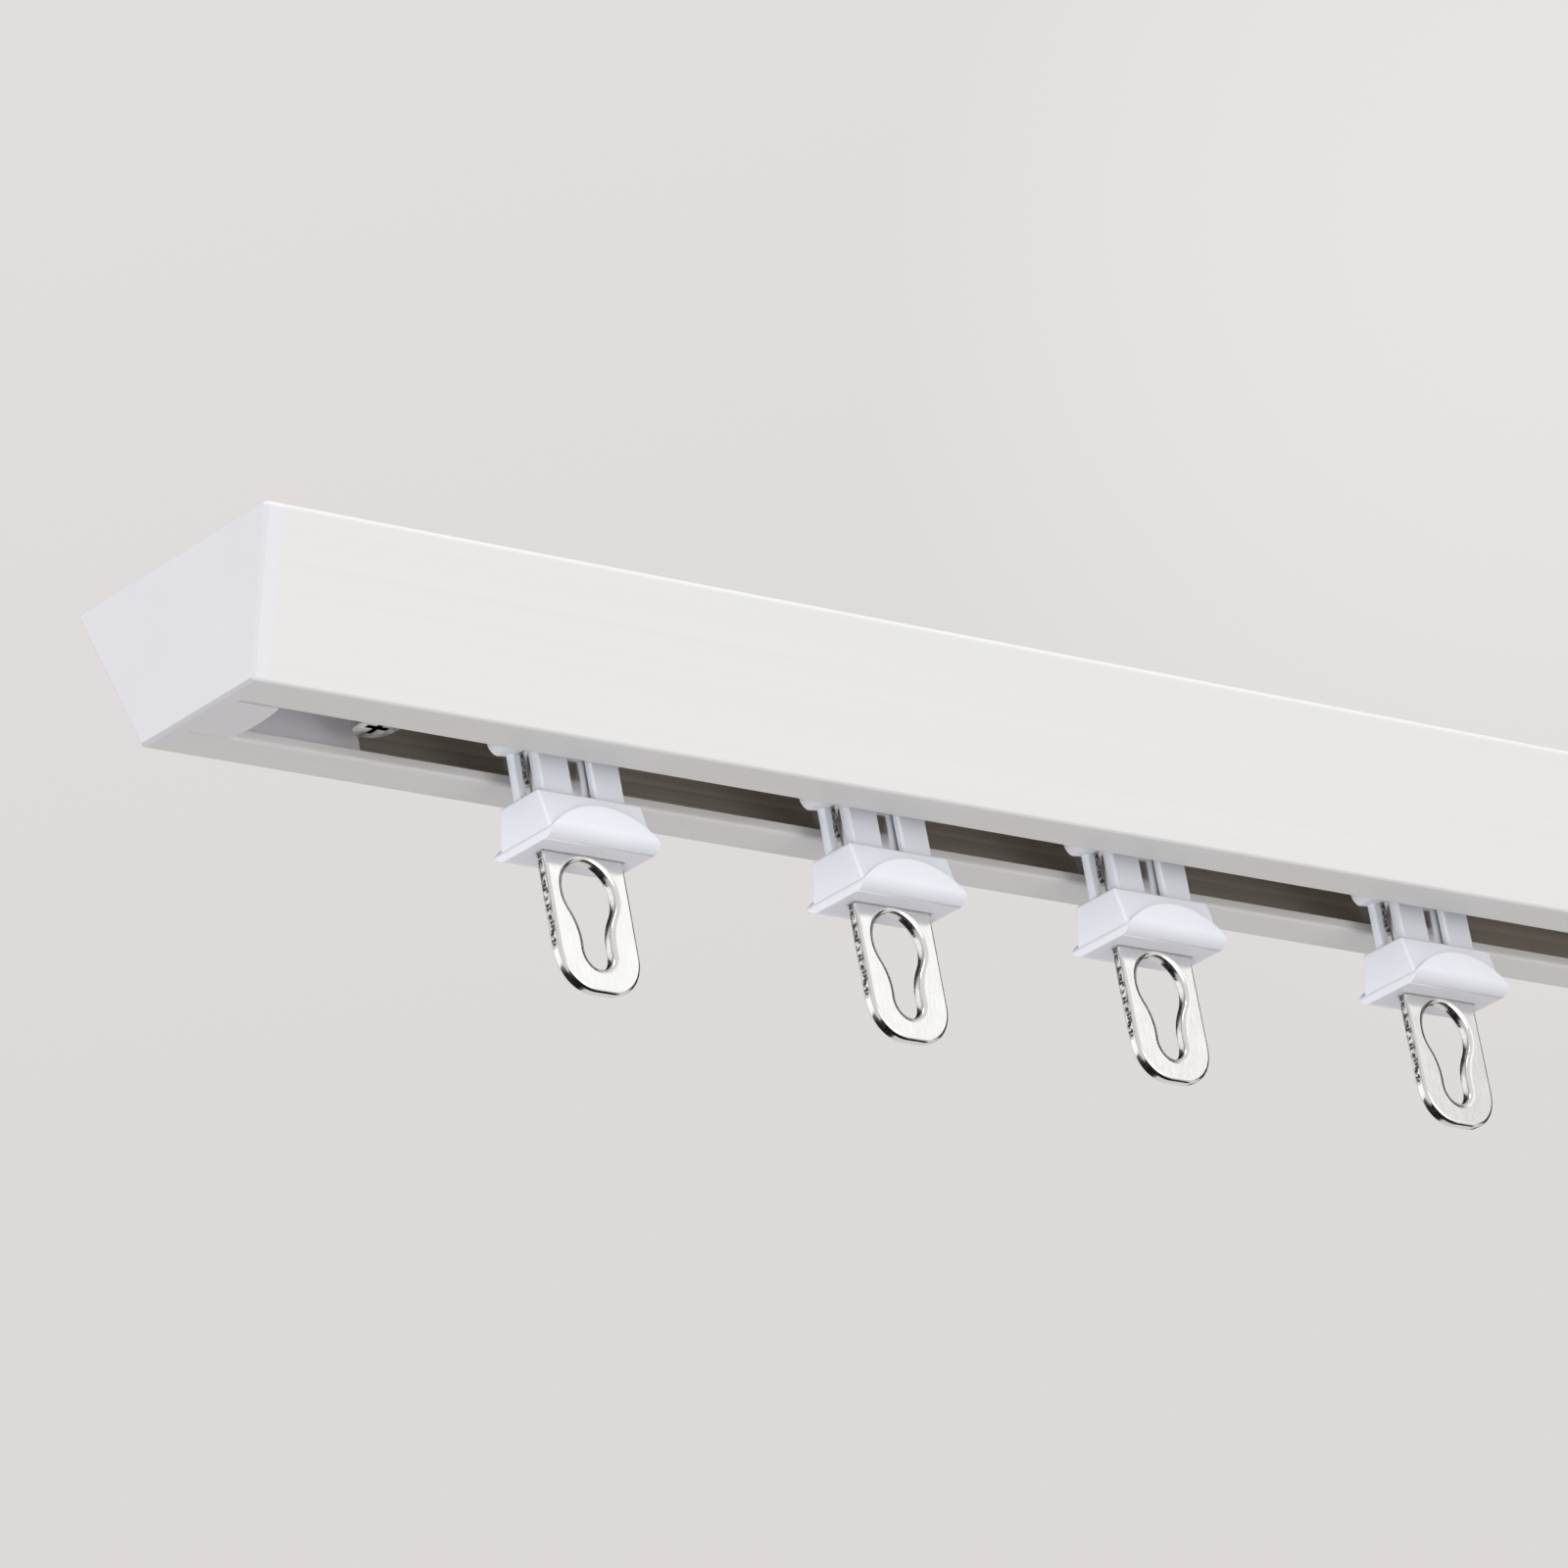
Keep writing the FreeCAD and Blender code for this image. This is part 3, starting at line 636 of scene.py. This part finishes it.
# %% [markdown]
# A plate has three finishes: nickel on its faces, the torn band on its straight sides and streaks in its
# eye. Three objects could carry them, but a mesh keeps them apart more simply, by a number on each face.
# The flat faces mirror flatly only if no rounded face shares their shading, so the edges between the two
# are marked sharp.

# %% Eye plate finishes
PLATE_FINISHES = (nickel, sheared_edge, punched_wall_shaded)
WALL_NORMAL = 0.7
SIDE_FROM = PLATE_HALF_WIDTH - PUNCH_ROUND
SIDE_ENDS = PLATE_BOTTOM + PLATE_CORNER
EYE_REACH = EYE_RADIUS + PUNCH_ROUND
EYE_LOW = FOOT_HEIGHT - FOOT_RADIUS - PUNCH_ROUND
EYE_HIGH = EYE_HEIGHT + EYE_RADIUS + PUNCH_ROUND


def finish_of(face):
    middle = face.calc_center_median()
    if abs(face.normal.y) >= WALL_NORMAL:
        return nickel
    if abs(middle.x) > SIDE_FROM and middle.z > SIDE_ENDS:
        return sheared_edge
    # The eye's wall takes the darker metal, with painted shade in its tone.
    if abs(middle.x) < EYE_REACH and EYE_LOW < middle.z < EYE_HIGH:
        return punched_wall_shaded
    return nickel


def is_smooth(edge):
    flat = [abs(face.normal.y) > FLAT_NORMAL for face in edge.link_faces]
    return len(flat) == 2 and flat[0] == flat[1] and edge.calc_face_angle() < SMOOTH_UP_TO


dress(plate_mesh, *PLATE_FINISHES)
for face in plate_work.faces:
    face.material_index = PLATE_FINISHES.index(finish_of(face))
    face.smooth = True
for edge in plate_work.edges:
    edge.smooth = is_smooth(edge)
plate_work.to_mesh(plate_mesh)
plate_work.free()
for index, finish in enumerate(PLATE_FINISHES):
    count = sum(face.material_index == index for face in plate_mesh.polygons)
    print("eye plate:", count, "faces in", finish.name)

# %% [markdown]
# Each glider takes one carrier and one plate. They stand where its solids stand, ride on its body,
# and take the place of the two solids in the picture. All gliders share the two meshes, so a change to one
# shows on all. A weighted normal keeps the flat faces flat beside their rounded edges.

# %% Hang the gliders
GLIDER_PIECES = (
    ("moulded", "carrier", carrier_mesh, "carrier_plastic"),
    ("punched", "eye_plate", plate_mesh, "plate_nickel"),
)
FLAT_FACE_WEIGHT = 100

for body in GLIDERS:
    for made, part, mesh, slot in GLIDER_PIECES:
        piece = bpy.data.objects.new(f"{made}_{body}_{part}", mesh)
        piece.location.x = glider_middle(body)
        scene.collection.objects.link(piece)
        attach(piece, body)
        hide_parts(f"{body}_{part}")
        flatten = piece.modifiers.new("flat_faces", "WEIGHTED_NORMAL")
        flatten.keep_sharp = True
        flatten.weight = FLAT_FACE_WEIGHT
print("gliders hung at", [round(glider_middle(body) / MM, 1) for body in GLIDERS])

# %% [markdown]
# The light is a pale studio: bright all round, a little darker straight above, and darker and warmer
# straight below. Lamps all round could give it, but a colour ramp from straight down to straight up is
# smoother. The camera and the bright metal see a plain warm grey wall instead, a little paler upwards and
# palest in one soft patch to the right.

# %% Studio light
WALL = (0.716, 0.687, 0.680)
PALE_WALL = (0.808, 0.776, 0.768)
PALE_TOWARDS = (0.7240, 0.5746, 0.3817)
PATCH_STARTS = 0.9975
PATCH_SHARE = 0.7
PALER_FROM = 0.34
PALER_TO = 0.42
PALER_SHARES = (0.1, 0.45)
STUDIO_LEVELS = (
    (0.0, (0.515, 0.497, 0.483)),
    (0.25, (0.600, 0.581, 0.567)),
    (0.45, (0.920, 0.915, 0.915)),
    (0.58, (1.050, 1.050, 1.065)),
    (0.75, (1.150, 1.150, 1.165)),
    (1.0, (0.750, 0.750, 0.760)),
)


def studio_levels(tree, height):
    node = add_node(tree, "ValToRGB")
    tree.links.new(ramp(tree, height, 0.0, 1.0, -1.0, 1.0), node.inputs["Fac"])
    stops = node.color_ramp.elements
    while len(stops) < len(STUDIO_LEVELS):
        stops.new(0.5)
    for stop, (place, tone) in zip(stops, STUDIO_LEVELS):
        stop.position = place
        stop.color = (*tone, 1.0)
    return node.outputs["Color"]


def wall_colour(tree, direction, height):
    facing = add_node(tree, "VectorMath", {"operation": "DOT_PRODUCT"})
    tree.links.new(direction, facing.inputs[0])
    facing.inputs[1].default_value = PALE_TOWARDS
    patch = ramp(tree, facing.outputs["Value"], 0.0, PATCH_SHARE, PATCH_STARTS, 1.0)
    upwards = ramp(tree, height, *PALER_SHARES, PALER_FROM, PALER_TO)
    return blend_colours(tree, math_node(tree, "ADD", patch, upwards), WALL, PALE_WALL)


def wall_seen(tree):
    """One for rays from the camera and for rays that a mirror or a clear piece sends on."""
    rays = add_node(tree, "LightPath").outputs
    mirrored = math_node(tree, "MAXIMUM", rays["Is Glossy Ray"], rays["Is Transmission Ray"])
    return math_node(tree, "MAXIMUM", rays["Is Camera Ray"], mirrored)


world = bpy.data.worlds.new("studio")
scene.world = world
world.use_nodes = True
studio = world.node_tree
direction = add_node(studio, "TexCoord").outputs["Generated"]
height = split_axes(studio, direction)["Z"]
levels = studio_levels(studio, height)
wall = wall_colour(studio, direction, height)
backdrop = studio.nodes["Background"]
studio.links.new(blend_colours(studio, wall_seen(studio), levels, wall), backdrop.inputs["Color"])
backdrop.inputs["Strength"].default_value = 1.0
print("studio:", len(STUDIO_LEVELS), "levels from straight down to straight up")

# %% [markdown]
# A large soft lamp in front and below lifts the rail's face and reaches the far edge of the slot, and a
# small one above lifts its top edge. The milky carriers seem lit from within, which a bluish lamp beside the
# camera gives them. Light linking lets a lamp light some pieces and not others: the front lamp leaves the
# carriers out, and the bluish one lights nothing else.


# %% Lamps
def soft_lamp(name, place, size, power, colour=(1.0, 1.0, 1.0)):
    lamp = bpy.data.lights.new(name, "AREA")
    lamp.shape = "DISK"
    lamp.size = size
    lamp.energy = power
    lamp.color = colour
    lamp_object = bpy.data.objects.new(name, lamp)
    lamp_object.location = place
    lamp_object.rotation_euler = (-Vector(place)).to_track_quat("-Z", "Y").to_euler()
    scene.collection.objects.link(lamp_object)
    return lamp_object


def receivers(name, pieces, state):
    """A set of pieces that a lamp lights, or that it leaves out."""
    group = bpy.data.collections.new(name)
    for piece in pieces:
        group.objects.link(piece)
    for entry in group.collection_objects:
        entry.light_linking.link_state = state
    return group


front_lamp = soft_lamp("front_lamp", place=(0.3, -2.0, -0.5), size=1.6, power=9.7)
upper_lamp = soft_lamp("upper_lamp", place=(-0.6, -0.7, 1.4), size=0.7, power=5.0)
side_lamp = soft_lamp(
    "side_lamp", place=(-1.15, -0.70, -0.55), size=0.6, power=9.0, colour=(0.90, 0.95, 1.0))
carriers = [piece for piece in scene.objects if piece.data == carrier_mesh]
front_lamp.light_linking.receiver_collection = receivers("all_but_carriers", carriers, "EXCLUDE")
side_lamp.light_linking.receiver_collection = receivers("carriers_only", carriers, "INCLUDE")
print("lamps:", front_lamp.name, upper_lamp.name, side_lamp.name, "for", len(carriers), "carriers")

# %% [markdown]
# Bright metal only looks like metal when it mirrors something bright and something dark. A white card to the
# right in front fills the plates' faces and ends just where the last plate looks, so that one stays grey.
# Another fills their left sides. Black cards draw the dark lines round the eyes and down the right-hand
# edges, and one below with one behind it blackens the plates' lower corners. Lamps would brighten the white
# parts too. Only mirror rays see the cards, so the white parts stay as they are.

# %% Cards to mirror
PAPER = (1.0, 1.0, 1.0)
FIBRE_SCALE = 40.0
FIBRE_SHADE = 0.97
WHITE_GLOW = 1.12
BLACK_GLOW = 0.012


def paper(name, glow):
    material, tree, shader = start_finish(name)
    fibre = noise(tree, object_vector(tree), FIBRE_SCALE, detail=3.0)
    tone = blend_colours(tree, ramp(tree, fibre, 0.0, 1.0), PAPER, darker(PAPER, FIBRE_SHADE))
    emission = add_node(tree, "Emission", Strength=glow)
    tree.links.new(tone, emission.inputs["Color"])
    tree.links.new(emission.outputs["Emission"], tree.nodes["Material Output"].inputs["Surface"])
    tree.nodes.remove(shader)
    return material


def card(name, finish, middle, width, height, turn=0.0, lean=0.0):
    """An upright sheet that faces the front, turned about its upright axis or leant over, in degrees."""
    right = width / 2
    up = height / 2
    corners = [(-right, 0, -up), (right, 0, -up), (right, 0, up), (-right, 0, up)]
    mesh = bpy.data.meshes.new(name)
    mesh.from_pydata(corners, [], [(0, 1, 2, 3)])
    dress(mesh, finish)
    sheet = bpy.data.objects.new(name, mesh)
    sheet.location = middle
    sheet.rotation_euler = (math.radians(lean), 0.0, math.radians(turn))
    scene.collection.objects.link(sheet)
    sheet.visible_camera = False
    sheet.visible_diffuse = False
    sheet.visible_transmission = False
    sheet.visible_shadow = False
    return sheet.name


white_paper = paper("white_paper", WHITE_GLOW)
black_paper = paper("black_paper", BLACK_GLOW)
cards = (
    card("front_white", white_paper, middle=(1.5, -1.93, 0.7), width=1.36, height=1.8, turn=90.0),
    card("left_white", white_paper, middle=(-1.62, 1.2, 0.3), width=1.35, height=1.6),
    card("back_black", black_paper, middle=(1.2, 1.2, 1.5), width=4.2, height=2.0),
    card("low_black", black_paper, middle=(-0.65, 1.2, -1.20), width=1.9, height=1.4),
    card("under_black", black_paper, middle=(0.1, -0.6, -1.9), width=4.6, height=3.6, lean=90.0),
    card("side_black", black_paper, middle=(1.5, 0.1, 0.5), width=2.4, height=1.6, turn=90.0),
)
print("cards:", cards)

# %% [markdown]
# The floor lies a room's height below. It is pale, plain and matt, one large square, and it takes the
# track's shadow. The camera and the bright metal see it. The white parts don't, so their light from below
# stays as the studio gives it.

# %% Floor
FLOOR_DROP = 3.6
FLOOR_HALF = 30.0
FLOOR_CORNERS = ((-1, -1), (1, -1), (1, 1), (-1, 1))
FLOOR_PAINT_SCALE = 3.0
FLOOR_SHADE = 0.98
FLOOR_ROUGHNESS = (0.8, 0.9)


def painted_floor():
    material, tree, shader = start_finish("floor_paint")
    paint = noise(tree, object_vector(tree), FLOOR_PAINT_SCALE, detail=2.0)
    tone = blend_colours(tree, ramp(tree, paint, 0.0, 1.0), WALL, darker(WALL, FLOOR_SHADE))
    tree.links.new(tone, shader.inputs["Base Color"])
    tree.links.new(ramp(tree, paint, *FLOOR_ROUGHNESS), shader.inputs["Roughness"])
    shader.inputs["Specular IOR Level"].default_value = 0.0
    return material


floor_mesh = bpy.data.meshes.new("floor")
floor_corners = [(x * FLOOR_HALF, y * FLOOR_HALF, -FLOOR_DROP) for x, y in FLOOR_CORNERS]
floor_mesh.from_pydata(floor_corners, [], [(0, 1, 2, 3)])
dress(floor_mesh, painted_floor())
floor = bpy.data.objects.new("floor", floor_mesh)
scene.collection.objects.link(floor)
floor.visible_diffuse = False
print("floor lies", FLOOR_DROP, "m below the ceiling face")
